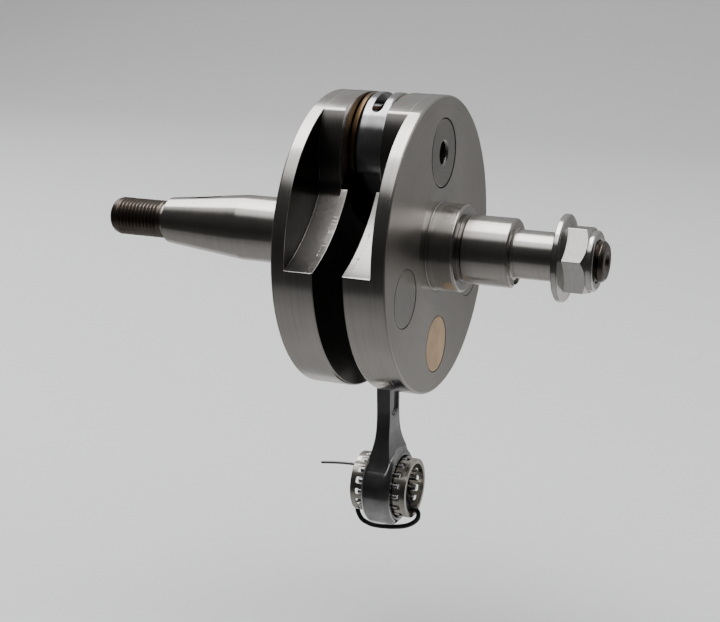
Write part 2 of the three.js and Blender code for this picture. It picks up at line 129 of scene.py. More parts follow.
def lathe(profile, segments=FINE, centre=(0.0, 0.0), loop=False, groove=None):
    """A solid of revolution about a line along X. A loop profile gives a ring."""
    verts, faces = [], []
    for x, radius in profile:
        for j in range(segments):
            angle = 2 * math.pi * j / segments
            r = radius - (groove(x, angle) if groove else 0)
            verts.append((x, centre[0] + r * math.sin(angle), centre[1] + r * math.cos(angle)))
    count = len(profile)
    for i in range(count if loop else count - 1):
        a, b = i * segments, ((i + 1) % count) * segments
        for j in range(segments):
            k = (j + 1) % segments
            faces.append((a + j, b + j, b + k, a + k))
    if not loop:
        faces.append(tuple(range(segments)))
        faces.append(tuple(range((count - 1) * segments, count * segments)))
    return solid(verts, faces)


def cylinder(a, b, radius, segments=FINE, centre=(0.0, 0.0)):
    return lathe([(min(a, b), radius), (max(a, b), radius)], segments, centre)


def ring(a, b, inner, outer, edge=0.2):
    """A plain ring about X, with soft edges."""
    corners = [(a, inner), (a, outer), (b, outer), (b, inner), (a, inner), (a, outer)]
    loop = softened(corners, edge)[1:-1]
    return lathe(loop[:-4], loop=True)


def prism(outline, a, b, across="yz"):
    """An outline in one plane, pushed along the third axis."""
    place = {
        "yz": lambda u, v, end: (end, u, v),
        "xz": lambda u, v, end: (u, end, v),
        "xy": lambda u, v, end: (u, v, end),
    }[across]
    count = len(outline)
    verts = [place(u, v, end) for end in (min(a, b), max(a, b)) for u, v in outline]
    faces = [tuple(range(count)), tuple(range(count, 2 * count))]
    faces += [(i, (i + 1) % count, count + (i + 1) % count, count + i) for i in range(count)]
    return solid(verts, faces)


def moved(made, matrix):
    made.data.transform(matrix)
    return made


def apply_modifiers(made):
    graph = bpy.context.evaluated_depsgraph_get()
    mesh = bpy.data.meshes.new_from_object(made.evaluated_get(graph))
    made.modifiers.clear()
    made.data = mesh
    return made


def combine(base, tools, operation="DIFFERENCE"):
    for tool in tools:
        cut = base.modifiers.new("cut", "BOOLEAN")
        cut.operation = operation
        cut.solver = "EXACT"
        cut.object = tool
        apply_modifiers(base)
        bpy.data.objects.remove(tool, do_unlink=True)
    return base


def arc(centre, radius, start, end, steps):
    angles = [start + (end - start) * i / steps for i in range(steps + 1)]
    return [(centre[0] + radius * math.cos(a), centre[1] + radius * math.sin(a)) for a in angles]


def angle_to(a, b):
    return math.atan2(b[1] - a[1], b[0] - a[0])


def mirrored(outline, hand):
    return [(hand * y, z) for y, z in outline]


def swept(points, radius, sides=14, steps=10):
    """A round wire along a smooth curve through the points."""
    ends = [points[0], *points, points[-1]]
    path = []
    for i in range(1, len(ends) - 2):
        p0, p1, p2, p3 = (Vector(ends[i + k]) for k in (-1, 0, 1, 2))
        for s in range(steps):
            t = s / steps
            path.append(
                0.5 * (2 * p1 + (p2 - p0) * t + (2 * p0 - 5 * p1 + 4 * p2 - p3) * t**2
                       + (3 * p1 - p0 - 3 * p2 + p3) * t**3)
            )
    path.append(Vector(points[-1]))
    verts, faces = [], []
    normal = Vector((0, 0, 1))
    for i, place in enumerate(path):
        along = (path[min(i + 1, len(path) - 1)] - path[max(i - 1, 0)]).normalized()
        normal = (normal - along * normal.dot(along)).normalized()
        side = along.cross(normal)
        taper = 0.6 if i in (0, len(path) - 1) else 1.0
        for j in range(sides):
            angle = 2 * math.pi * j / sides
            verts.append(place + (normal * math.cos(angle) + side * math.sin(angle)) * radius * taper)
    for i in range(len(path) - 1):
        for j in range(sides):
            k = (j + 1) % sides
            faces.append((i * sides + j, i * sides + k, (i + 1) * sides + k, (i + 1) * sides + j))
    faces.append(tuple(range(sides)))
    faces.append(tuple(range(len(verts) - sides, len(verts))))
    return solid(verts, faces)


def bevelled(made, width, segments=2, angle=32):
    edge = made.modifiers.new("edges", "BEVEL")
    edge.width = width
    edge.segments = segments
    edge.limit_method = "ANGLE"
    edge.angle_limit = math.radians(angle)
    edge.use_clamp_overlap = False
    edge.miter_outer = "MITER_ARC"
    return apply_modifiers(made)


def tidied(made, distance=0.004):
    """Merges the slivers that cutting leaves."""
    bm = bmesh.new()
    bm.from_mesh(made.data)
    bmesh.ops.remove_doubles(bm, verts=bm.verts, dist=distance)
    bmesh.ops.dissolve_limit(bm, angle_limit=math.radians(0.4), verts=bm.verts, edges=bm.edges)
    bm.to_mesh(made.data)
    bm.free()
    return made


def finish_piece(made, name, node, body, slot, material, smooth=32):
    """Scales the piece to metres, smooths it, and puts it in the place of its CAD node."""
    made.data.transform(Matrix.Scale(MM, 4))
    made.name = name
    made.data.name = name
    made.data.materials.clear()
    made.data.materials.append(material)
    made.data.polygons.foreach_set("use_smooth", [True] * len(made.data.polygons))
    made.data.set_sharp_from_angle(angle=math.radians(smooth))
    weights = made.modifiers.new("normals", "WEIGHTED_NORMAL")
    weights.keep_sharp = True
    weights.weight = 80
    apply_modifiers(made)
    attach(made, body)
    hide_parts(node)
    return made


LEAN = Matrix.Rotation(-math.radians(PIN_LEAN), 4, "X")
BIG_END = THROW * Vector((0, math.sin(math.radians(PIN_LEAN)), math.cos(math.radians(PIN_LEAN))))
AT_BIG_END = Matrix.Translation(BIG_END)
AT_SMALL_END = Matrix.Translation(BIG_END - Vector((0, 0, ROD_LENGTH)))


def ledge():
    """The ledge beside the pocket, as its end on the rim, its end at the horn, and the centre of its arc."""
    rim, horn = math.radians(LEDGE_RIM_ANGLE), math.radians(LEDGE_HORN_ANGLE)
    rim_point = (WEB_RADIUS * math.sin(rim), WEB_RADIUS * math.cos(rim))
    horn_point = (RECESS_RADIUS * math.sin(horn), THROW + RECESS_RADIUS * math.cos(horn))
    half = math.dist(rim_point, horn_point) / 2
    rise = math.sqrt(LEDGE_RADIUS**2 - half**2)
    out_y = (rim_point[1] - horn_point[1]) / (2 * half)
    out_z = (rim_point[0] - horn_point[0]) / (2 * half)
    middle = ((rim_point[0] + horn_point[0]) / 2, (rim_point[1] + horn_point[1]) / 2)
    centre = (middle[0] - rise * out_y, middle[1] + rise * out_z)
    return rim_point, horn_point, centre


def plug_places():
    angles = [math.radians(180 + spread) for spread in (-PLUG_SPREAD, 0, PLUG_SPREAD)]
    return [(PLUG_CIRCLE * math.sin(a), PLUG_CIRCLE * math.cos(a)) for a in angles]


def web_walls():
    """The pocket's walls, as (line along X, radius, how much painted shade they take)."""
    walls = [(tuple(BIG_END[1:]), BOSS_RADIUS, 0.62)]
    for hand in (-1, 1):
        y, z = ledge()[2]
        walls.append((tuple(LEAN @ Vector((0.0, hand * y, z)))[1:], LEDGE_RADIUS, 0.35))
    return walls


def web_seams():
    """Where the plugs and the crankpin meet the webs' outer faces."""
    places = [(place, PLUG_RADIUS) for place in plug_places()] + [(PIN_PLACE, PIN_RADIUS)]
    return [(tuple(LEAN @ Vector((0.0, *place)))[1:], radius + 0.06) for place, radius in places]


# ---- materials -----------------------------------------------------------------------------------
class Nodes:
    """A short way to write a material's nodes."""

    def __init__(self, name):
        self.material = bpy.data.materials.new(name)
        self.material.use_nodes = True
        self.tree = self.material.node_tree
        self.shader = self.tree.nodes["Principled BSDF"]

    def add(self, kind, inputs=None, **settings):
        node = self.tree.nodes.new(kind)
        for key, value in settings.items():
            setattr(node, key, value)
        for key, value in (inputs or {}).items():
            self.put(node.inputs[key], value)
        return node

    def put(self, socket, value):
        if isinstance(value, bpy.types.NodeSocket):
            self.tree.links.new(value, socket)
        else:
            socket.default_value = value

    def math(self, operation, a, b=0.0):
        return self.add("ShaderNodeMath", {0: a, 1: b}, operation=operation).outputs[0]

    def vector(self, operation, a, b=(0.0, 0.0, 0.0)):
        return self.add("ShaderNodeVectorMath", {0: a, 1: b}, operation=operation)

    def noise(self, vector, scale, detail=3.0, roughness=0.55):
        inputs = {"Vector": vector, "Scale": scale, "Detail": detail, "Roughness": roughness}
        return self.add("ShaderNodeTexNoise", inputs).outputs["Fac"]

    def spread(self, value, low, high, to_low, to_high):
        inputs = {"Value": value, "From Min": low, "From Max": high, "To Min": to_low, "To Max": to_high}
        return self.add("ShaderNodeMapRange", inputs).outputs[0]

    def mix(self, factor, a, b, blend="MIX"):
        node = self.tree.nodes.new("ShaderNodeMix")
        node.data_type = "RGBA"
        node.blend_type = blend
        self.put(node.inputs["Factor"], factor)
        self.put(node.inputs[6], a)
        self.put(node.inputs[7], b)
        return node.outputs[2]

    def place(self):
        return self.add("ShaderNodeTexCoord").outputs["Object"]

    def from_axis(self, centre):
        """The distance from a line along X."""
        offset = [-c * MM for c in (0.0, *centre)]
        shifted = self.vector("ADD", self.place(), offset).outputs[0]
        flat = self.vector("MULTIPLY", shifted, (0.0, 1.0, 1.0)).outputs[0]
        return self.vector("LENGTH", flat).outputs["Value"]

    def near(self, value, at, reach):
        """One where the value is within reach of a place, both in millimetres."""
        gap = self.math("ABSOLUTE", self.math("SUBTRACT", value, at * MM))
        return self.math("LESS_THAN", gap, reach * MM)

    def turned_place(self, centre, axial, radial, around):
        """The place as (distance along X, distance from the axis, angle round it), each scaled."""
        offset = [-c * MM for c in (0.0, *centre)]
        shifted = self.vector("ADD", self.place(), offset).outputs[0]
        parts = self.add("ShaderNodeSeparateXYZ", {0: shifted}).outputs
        flat = self.add("ShaderNodeCombineXYZ", {1: parts[1], 2: parts[2]}).outputs[0]
        away = self.vector("LENGTH", flat).outputs["Value"]
        angle = self.math("ARCTAN2", parts[1], parts[2])
        axial_part = self.math("MULTIPLY", parts[0], axial)
        radial_part = self.math("MULTIPLY", away, radial)
        around_part = self.math("MULTIPLY", self.math("ABSOLUTE", angle), around)
        scaled = {0: axial_part, 1: radial_part, 2: around_part}
        return self.add("ShaderNodeCombineXYZ", scaled).outputs[0]


def colour(red, green, blue):
    """A shown colour of 0 to 255 as a linear one."""
    values = [c / 255 for c in (red, green, blue)]
    return (*[v / 12.92 if v <= 0.04045 else ((v + 0.055) / 1.055) ** 2.4 for v in values], 1.0)


# the colour of the painted shade that darkens corners and gaps, by ambient occlusion
CORNER_SHADE_COLOUR = colour(34, 26, 20)
OXIDE_COLOUR = colour(92, 82, 74)
# the colour of the painted shade on the webs' facing inner faces, pocket floors and pocket walls
WEB_SHADE_COLOUR = colour(20, 17, 15)
SEAM_COLOUR = colour(30, 25, 22)
CORNER_SHADE_REACH = 0.0035  # how far into a corner the painted shade spreads, in metres
OXIDE_EDGE = 0.0004  # half the width of the border between bright metal and black thread, in metres
GROUND_FROM = 0.0175  # the webs' outer faces are ground coarsely from this radius outward, in metres


def corner_shaded(n, base, amount):
    """Painted shade in the corners: ambient occlusion darkens them, broken up by noise spots."""
    occlusion = n.add("ShaderNodeAmbientOcclusion", {"Distance": CORNER_SHADE_REACH}, samples=8).outputs["AO"]
    spots = n.noise(n.place(), 420.0, 5.0, 0.7)
    depth = n.spread(occlusion, 0.25, 0.85, 1.0, 0.0)
    corner = n.math("SUBTRACT", depth, n.spread(spots, 0.3, 0.8, 0.35, 0.0))
    cover = n.add("ShaderNodeClamp", {0: n.math("MULTIPLY", corner, amount)}).outputs[0]
    return n.mix(cover, base, CORNER_SHADE_COLOUR)


def oxidised(n, base, rough, patches, low, high):
    """Black threads: everything below the low and above the high place along X."""
    along = n.add("ShaderNodeSeparateXYZ", {0: n.place()}).outputs[0]
    at_start = n.spread(along, low - OXIDE_EDGE, low + OXIDE_EDGE, 1.0, 0.0)
    at_end = n.spread(along, high - OXIDE_EDGE, high + OXIDE_EDGE, 0.0, 1.0)
    oxide = n.math("MULTIPLY", n.math("ADD", at_start, at_end), n.spread(patches, 0.3, 0.6, 0.8, 0.97))
    return n.mix(oxide, base, OXIDE_COLOUR), n.math("ADD", rough, n.math("MULTIPLY", oxide, 0.16))


def scaled(n, base, rough, patches, faces, walls, seams):
    """The webs: painted shade, with a little more roughness, on the inner faces and pocket walls that face the
    other web, coarser outer faces, and seams round the plugs.
    """
    away = n.math("ABSOLUTE", n.add("ShaderNodeSeparateXYZ", {0: n.place()}).outputs[0])
    inside = n.math("LESS_THAN", n.from_axis((0.0, 0.0)), (WEB_RADIUS - 0.4) * MM)
    shade_places = [(n.near(away, at, 0.08), amount) for at, amount in faces]
    short = n.math("LESS_THAN", away, (POCKET_FLOOR - 0.1) * MM)
    shade_places += [(n.math("MULTIPLY", n.near(n.from_axis(at), r, 0.12), short), amount) for at, r, amount in walls]
    # painted shade where the webs face each other and in the pockets between them
    for near, amount in shade_places:
        shade_weight = n.math("MULTIPLY", near, n.spread(patches, 0.3, 0.65, amount * 0.95, amount))
        base = n.mix(n.math("MULTIPLY", shade_weight, inside), base, WEB_SHADE_COLOUR)
        rough = n.math("ADD", rough, n.math("MULTIPLY", shade_weight, 0.15))
    end_face = n.math("GREATER_THAN", away, (WEB_OUTER_FACE - 0.4) * MM)
    outward = n.math("GREATER_THAN", n.from_axis((0.0, 0.0)), GROUND_FROM)
    rough = n.math("ADD", rough, n.math("MULTIPLY", n.math("MULTIPLY", end_face, outward), 0.16))
    for at, r in seams:
        line = n.math("MULTIPLY", n.near(n.from_axis(at), r, 0.14), end_face)
        base = n.mix(n.math("MULTIPLY", line, 0.85), base, SEAM_COLOUR)
    return base, rough


def metal(name, light, dark, roughness, lines, centre=(0.0, 0.0), anisotropy=0.0, scale=(16000, 16000, 0.9),
          corner_shade=0.0, bump=0.012, blackened=None, web_shade=None):
    """Machined metal: fine tool lines round an axis, patchy tone, and painted shade in the corners."""
    n = Nodes(name)
    fine = n.noise(n.turned_place(centre, *scale), 1.0, 4.0, 0.65)
    coarse = n.noise(n.turned_place(centre, scale[0] / 9, scale[1] / 9, scale[2]), 1.0, 3.0)
    patches = n.noise(n.place(), 70.0, 4.0)
    tone = n.math("ADD", n.math("MULTIPLY", patches, 0.6), n.math("MULTIPLY", coarse, 0.4))
    base = n.mix(n.spread(tone, 0.32, 0.68, 0.0, 1.0), colour(*dark), colour(*light))
    scratch = n.spread(fine, 0.35, 0.7, 1.0 - lines, 1.0 + lines * 0.35)
    grey = n.add("ShaderNodeCombineXYZ", {0: scratch, 1: scratch, 2: scratch}).outputs[0]
    base = n.mix(1.0, base, grey, "MULTIPLY")
    # painted shade in corners and gaps, where the metal is occluded
    if corner_shade:
        base = corner_shaded(n, base, corner_shade)
    rough = n.math("ADD", n.spread(fine, 0.3, 0.7, roughness * 0.8, roughness * 1.2),
                   n.spread(patches, 0.35, 0.7, -0.03, 0.05))
    if blackened:
        base, rough = oxidised(n, base, rough, patches, *blackened)
    # painted shade on the webs' inner faces, pocket floors and pocket walls
    if web_shade:
        base, rough = scaled(n, base, rough, patches, *web_shade)
    n.put(n.shader.inputs["Base Color"], base)
    n.put(n.shader.inputs["Roughness"], rough)
    n.shader.inputs["Metallic"].default_value = 1.0
    height = n.math("ADD", n.math("MULTIPLY", fine, 0.7), n.math("MULTIPLY", coarse, 0.6))
    normal = n.add("ShaderNodeBump", {"Strength": bump, "Distance": 0.0002, "Height": height}).outputs[0]
    n.put(n.shader.inputs["Normal"], normal)
    if anisotropy:
        n.shader.inputs["Anisotropic"].default_value = anisotropy
        n.shader.inputs["Anisotropic Rotation"].default_value = 0.25
        tangent = n.add("ShaderNodeTangent", direction_type="RADIAL", axis="X").outputs[0]
        n.put(n.shader.inputs["Tangent"], tangent)
    return n.material


def dielectric(name, light, dark, roughness, bump, scale, coat=0.0):
    """A non-metal with an even grain, such as moulded plastic."""
    n = Nodes(name)
    grain = n.noise(n.place(), scale, 5.0, 0.6)
    patches = n.noise(n.place(), scale / 8, 3.0)
    base = n.mix(n.spread(patches, 0.3, 0.7, 0.0, 1.0), colour(*dark), colour(*light))
    n.put(n.shader.inputs["Base Color"], base)
    n.put(n.shader.inputs["Roughness"], n.spread(grain, 0.3, 0.7, roughness * 0.8, roughness * 1.25))
    n.shader.inputs["Coat Weight"].default_value = coat
    n.shader.inputs["Coat Roughness"].default_value = 0.12
    normal = n.add("ShaderNodeBump", {"Strength": bump, "Distance": 0.0002, "Height": grain}).outputs[0]
    n.put(n.shader.inputs["Normal"], normal)
    return n.material


# the crank halves' steel takes painted shade in its corners and on the webs' facing inner faces and pockets
STEEL = metal("ground_steel", (196, 192, 188), (178, 174, 170), 0.2, 0.08, anisotropy=0.5, corner_shade=1.0,
              blackened=(-0.0738, 0.0534),
              web_shade=(((POCKET_FLOOR, 1.0), (COUNTERWEIGHT_FACE, 0.75)), web_walls(), web_seams()))
PIN_STEEL = metal("pin_steel", (176, 172, 168), (156, 152, 148), 0.28, 0.1, anisotropy=0.3, corner_shade=1.0)
PLUG_STEEL = metal("steel_plug", (186, 183, 179), (170, 167, 163), 0.3, 0.06, corner_shade=1.0)
NUT_STEEL = metal("nut_steel", (222, 220, 217), (196, 194, 192), 0.15, 0.05, bump=0.008, corner_shade=0.9)
ROD_STEEL = metal("rod_steel", (190, 190, 191), (150, 150, 152), 0.17, 0.06, tuple(BIG_END[1:]),
                  bump=0.01, corner_shade=0.9, scale=(3000, 3000, 3.0))
ROLLER_STEEL = metal("roller_steel", (214, 213, 211), (186, 185, 184), 0.12, 0.04, bump=0.006)
SMALL_CAGE_METAL = metal("cage_silver", (212, 208, 200), (176, 172, 164), 0.22, 0.08,
                         (BIG_END.y, BIG_END.z - ROD_LENGTH), corner_shade=1.0)
BIG_CAGE_METAL = metal("cage_copper", (170, 118, 78), (120, 80, 50), 0.28, 0.1, tuple(BIG_END[1:]), corner_shade=0.8)
WASHER_BRONZE = metal("washer_bronze", (122, 99, 72), (84, 67, 48), 0.32, 0.12, tuple(BIG_END[1:]), corner_shade=0.9)
WIRE_CORE = metal("wire_core", (158, 156, 154), (122, 120, 118), 0.32, 0.08, bump=0.02)
TAN_PLUG = dielectric("tan_plug", (210, 179, 143), (192, 162, 127), 0.5, 0.12, 1600.0)
WIRE_COVER = dielectric("wire_cover", (16, 20, 24), (9, 12, 15), 0.3, 0.08, 1200.0, coat=0.4)


# ---- crank halves --------------------------------------------------------------------------------
def above_counterweight():
    """One side's outline of all that is cut away down to the boss's face."""
    rim_point, horn_point, centre = ledge()
    beyond = WEB_RADIUS * 1.3
    edge = arc(centre, LEDGE_RADIUS, angle_to(centre, rim_point), angle_to(centre, horn_point), 28)
    return [(beyond, rim_point[1] - 4), *edge, PIN_PLACE, (0, beyond), (beyond, beyond)]


def meeting(p0, r0, p1, r1):
    """The lower of the two points at distance r0 from p0 and r1 from p1."""
    apart = math.dist(p0, p1)
    along = (r0**2 - r1**2 + apart**2) / (2 * apart)
    across = math.sqrt(r0**2 - along**2)
    uy, uz = (p1[0] - p0[0]) / apart, (p1[1] - p0[1]) / apart
    return (p0[0] + along * uy + across * uz, p0[1] + along * uz - across * uy)


def pocket():
    """One side's outline of the pocket, between the boss and the ledge."""
    rim_point, _, centre = ledge()
    from_pin, from_ledge = BOSS_RADIUS + POCKET_CORNER_RADIUS, LEDGE_RADIUS - POCKET_CORNER_RADIUS
    corner = meeting(PIN_PLACE, from_pin, centre, from_ledge)
    ledge_end, boss_start = angle_to(centre, corner), angle_to(PIN_PLACE, corner)
    beyond, top = WEB_RADIUS * 1.3, math.radians(50)
    return [
        (beyond, rim_point[1] - 4),
        *arc(centre, LEDGE_RADIUS, angle_to(centre, rim_point), ledge_end, 22),
        *arc(corner, POCKET_CORNER_RADIUS, ledge_end, boss_start - math.pi, 14)[1:],
        *arc(PIN_PLACE, BOSS_RADIUS, boss_start, top, 30)[1:],
        (BOSS_RADIUS * math.cos(top), beyond),
        (beyond, beyond),
    ]


def chamfered_hole(side, radius, centre, depth):
    """A tool for a hole from the web's outer face, with its mouth broken by a small chamfer."""
    face, mouth = WEB_OUTER_FACE, radius + 0.12
    profile = [(face - depth, radius), (face - 0.1, radius), (face + 0.02, mouth), (face + 1, mouth)]
    return lathe([(side * x, r) for x, r in profile], FINE, centre)


def web(side):
    """A full disc, cut down to the boss, the pocket's floor and the big end's recess."""
    profile = [
        (COUNTERWEIGHT_FACE, 5.0),
        (COUNTERWEIGHT_FACE, WEB_RADIUS - WEB_CHAMFER),
        (COUNTERWEIGHT_FACE + WEB_CHAMFER, WEB_RADIUS),
        (WEB_OUTER_FACE - WEB_CHAMFER, WEB_RADIUS),
        (WEB_OUTER_FACE, WEB_RADIUS - WEB_CHAMFER),
        (WEB_OUTER_FACE, 5.0),
    ]
    blank = lathe([(side * x, r) for x, r in softened(profile, 0.22, 2)], ROUND)
    open_at = side * (COUNTERWEIGHT_FACE - 2)
    tools = []
    for hand in (-1, 1):
        tools.append(prism(mirrored(above_counterweight(), hand), open_at, side * BOSS_FACE))
        tools.append(prism(mirrored(pocket(), hand), open_at, side * POCKET_FLOOR))
    tools.append(cylinder(open_at, side * BOSS_FACE, RECESS_RADIUS, FINE, PIN_PLACE))
    return combine(blank, tools)


def thread_groove(start, end):
    """A helical groove between two places along X, faded out at both."""

    def depth(x, angle):
        if not start <= x <= end:
            return 0.0
        turn = (x / THREAD_PITCH - angle / (2 * math.pi)) % 1.0
        fade = min(1.0, (x - start) / 0.9, (end - x) / 0.7)
        return THREAD_DEPTH * max(0.0, 1 - abs(turn - 0.5) * 2.3) * fade

    return depth


def thread_profile(start, end, radius):
    steps = round((end - start) / THREAD_PITCH * 8)
    return [(start + (end - start) * i / steps, radius) for i in range(steps + 1)]


def flywheel_shaft():
    """Its profile is listed towards +X and then mirrored."""
    root = softened([
        (15.8, 10.0), (16.8, 11.0), (17.0, 10.6), (17.8, 10.0), (46.0, 10.0), (72.5, 7.1),
        (72.5, 5.4), (74.0, 5.4), (74.5, 5.9)], 0.35)
    threaded = thread_profile(74.6, 89.6, 5.9)
    nose = softened([(89.8, 5.9), (91.2, 5.5), (92.1, 4.7), (92.5, 3.7), (92.5, 2.5), (88.7, 0.15)], 0.4)
    profile = [(-x, r) for x, r in root + threaded + nose]
    return lathe(profile, FINE, groove=thread_groove(-89.8, -74.4))


def drive_shaft():
    root = softened([
        (15.8, 12.75), (16.8, 12.95), (16.95, 12.75), (24.3, 12.75), (24.8, 12.25),
        (24.8, 9.4), (25.8, 9.4), (25.8, 9.5), (26.3, 10.0), (39.3, 10.0), (39.9, 9.4), (39.9, 7.5),
        (40.4, 7.0), (52.5, 7.0), (52.9, 6.6), (52.9, 5.9), (54.0, 5.9)], 0.22)
    threaded = thread_profile(54.2, 65.0, 5.9)
    nose = softened([(65.1, 5.8), (66.0, 4.9), (66.0, 2.5), (62.2, 0.15)], 0.3)
    return lathe(root + threaded + nose, FINE, groove=thread_groove(54.2, 65.2))


def woodruff_slot():
    tool = cylinder(-WOODRUFF["half_width"], WOODRUFF["half_width"], WOODRUFF["radius"], 48)
    place = Matrix.Translation((WOODRUFF["x"], 0, WOODRUFF["height"]))
    return moved(tool, place @ Matrix.Rotation(math.pi / 2, 4, "Z"))


def seat_keyway():
    outline = [(34.0, -7.5), (40.4, -7.5), (40.4, -12.5), (34.0, -12.5)]
    return moved(prism(outline, -2, 2, "xz"), Matrix.Rotation(math.radians(PIN_LEAN), 4, "X"))


def crank_half(side_name):
    side = SIDES[side_name]
    made = web(side)
    holes = [chamfered_hole(side, PIN_RADIUS + PRESS_GAP, PIN_PLACE, 16)]
    holes += [chamfered_hole(side, PLUG_RADIUS + PRESS_GAP, place, PLUG_DEPTH) for place in plug_places()]
    combine(made, holes)
    bevelled(tidied(made), 0.18)
    combine(made, [flywheel_shaft() if side < 0 else drive_shaft()], "UNION")
    combine(made, [woodruff_slot() if side < 0 else seat_keyway()])
    name = f"{side_name}_crank_half"
    return finish_piece(moved(made, LEAN), f"{name}_detailed", name, "crank", "ground_steel", STEEL)


def crankpin():
    end, bore, radius = WEB_OUTER_FACE - PRESS_GAP, PIN_BORE_RADIUS, PIN_RADIUS
    profile = [(0, bore), (-end + 0.5, bore), (-end, bore + 0.5), (-end, radius - 0.4), (-end + 0.4, radius),
               (end - 0.4, radius), (end, radius - 0.4), (end, bore + 0.5), (end - 0.5, bore), (0, bore)]
    made = lathe(softened(profile, 0.15)[:-1], FINE, PIN_PLACE, loop=True)
    return finish_piece(moved(made, LEAN), "crankpin_detailed", "crankpin", "crank", "pin_steel", PIN_STEEL)


def balance_plug(side_name, which, place):
    side = SIDES[side_name]
    inner, outer, radius = WEB_OUTER_FACE - PLUG_DEPTH + PRESS_GAP, WEB_OUTER_FACE - PRESS_GAP, PLUG_RADIUS
    profile = [(inner, 0.3), (inner, radius - 0.25), (inner + 0.25, radius), (outer - 0.12, radius),
               (outer, radius - 0.12), (outer, 7.4), (outer, 0.3)]
    made = lathe([(side * x, r) for x, r in softened(profile, 0.06)], FINE, place)
    node = f"{side_name}_balance_plug_{which}"
    slot, material = ("tan_plug", TAN_PLUG) if which == "middle" else ("steel_plug", PLUG_STEEL)
    return finish_piece(moved(made, LEAN), f"{node}_detailed", node, "crank", slot, material)


def flange_nut():
    corner = NUT_FLAT / math.cos(math.pi / 6)
    angles = [math.radians(60 * i - NUT_TURN) for i in range(6)]
    made = prism([(corner * math.sin(a), corner * math.cos(a)) for a in angles], 53.5, 61.9)
    made = combine(made, [lathe([(53, corner + 1), (60.6, corner + 0.2), (61.9, NUT_FLAT)])], "INTERSECT")
    flange = lathe(softened([(53, 5.0), (53, 12.2), (53.25, 12.5), (54.5, 12.5), (54.85, 12.1), (56.0, 9.1),
                             (56.0, 5.0)], 0.18))
    collar = lathe(softened([(61.0, 5.0), (61.0, 8.6), (63.1, 8.6), (63.7, 7.9), (63.7, 5.0)], 0.3))
    bore = lathe([(52.8, 6.6), (53.3, 6.1), (63.4, 6.1), (63.9, 6.7)], 64)
    combine(combine(made, [flange, collar], "UNION"), [bore])
    bevelled(tidied(made), 0.12, 2, 28)
    return finish_piece(made, "flange_nut_detailed", "flange_nut", "crank", "nut_steel", NUT_STEEL)


# ---- connecting rod ------------------------------------------------------------------------------
def rod_outline():
    """One half of the shank's outline seen along X, flared into both eyes."""

    def flare(eye, end):
        across = SHANK_HALF_WIDTH[end] + SHANK_FLARE[end]
        return across, math.sqrt((eye["radius"] + SHANK_FLARE[end]) ** 2 - across**2)

    low_across, low_along = flare(SMALL_EYE, "bottom")
    high_across, high_along = flare(BIG_EYE, "top")
    low, high = (low_across, -ROD_LENGTH + low_along), (high_across, -high_along)
    small = (0.0, -ROD_LENGTH)
    return [
        small,
        *arc(low, SHANK_FLARE["bottom"], angle_to(low, small) + 2 * math.pi, math.pi, 18),
        *arc(high, SHANK_FLARE["top"], math.pi, angle_to(high, (0, 0)), 18),
        (0.0, 0.0),
    ]


def both_sides(half):
    return half + mirrored(half, -1)[::-1][1:-1]


def rod_side():
    """One half of the shank's outline seen along Y, which thickens into the flat of each eye's rim."""
    half, top_radius, bottom_radius = SHANK_HALF_THICKNESS, SHANK_SWELL["top"], SHANK_SWELL["bottom"]

    def rim(eye):
        return eye["width"] / 2 - eye["chamfer"]

    def swell(eye, radius):
        reach = math.acos(1 - (rim(eye) - half) / radius)
        return reach, radius * math.sin(reach)

    low_reach, low_rise = swell(SMALL_EYE, bottom_radius)
    high_reach, high_rise = swell(BIG_EYE, top_radius)
    low = (half + bottom_radius, -ROD_LENGTH + SMALL_EYE["radius"] - 1 + low_rise)
    high = (half + top_radius, -BIG_EYE["radius"] + 1 - high_rise)
    return [
        (0.0, -ROD_LENGTH),
        (rim(SMALL_EYE), -ROD_LENGTH),
        *arc(low, bottom_radius, math.pi + low_reach, math.pi, 14),
        *arc(high, top_radius, math.pi, math.pi - high_reach, 14),
        (rim(BIG_EYE), 0.0),
        (0.0, 0.0),
    ]


def eye_blank(eye, centre):
    half, radius, edge = eye["width"] / 2, eye["radius"], eye["chamfer"]
    profile = [(-half, 5.0), (-half, radius - edge), (-half + edge, radius), (half - edge, radius),
               (half, radius - edge), (half, 5.0)]
    return lathe(softened(profile, 0.6, 4), FINE, centre)


def bore_tool(eye, centre):
    half, bore = eye["width"] / 2, eye["bore"]
    profile = [(-half - 1, bore + 0.35), (-half, bore + 0.35), (-half + 0.35, bore), (half - 0.35, bore),
               (half, bore + 0.35), (half + 1, bore + 0.35)]
    return lathe(profile, FINE, centre)


def shank_hollow(side):
    """The tool for one side's long shallow hollow."""
    border, gap, face = SHANK_HOLLOW["border"], SHANK_HOLLOW["gap"], SHANK_HALF_THICKNESS
    top_radius, bottom_radius = SHANK_HALF_WIDTH["top"] - border, SHANK_HALF_WIDTH["bottom"] - border
    top = (0.0, -BIG_EYE["radius"] - gap - top_radius)
    bottom = (0.0, -ROD_LENGTH + SMALL_EYE["radius"] + gap + bottom_radius)
    outline = arc(top, top_radius, 0, math.pi, 20) + arc(bottom, bottom_radius, math.pi, 2 * math.pi, 20)
    return prism(outline, side * (face - SHANK_HOLLOW["depth"]), side * (face + 1))


def oil_slot():
    """A slot that stands up through the wall of the big eye, along its rim."""
    radius = OIL_SLOT["radius"]
    half_length = OIL_SLOT["length"] / 2 - radius
    outline = arc((0, half_length), radius, 0, math.pi, 14)
    outline += arc((0, -half_length), radius, math.pi, 2 * math.pi, 14)
    return prism(outline, 4.4, 20.0, "xy")


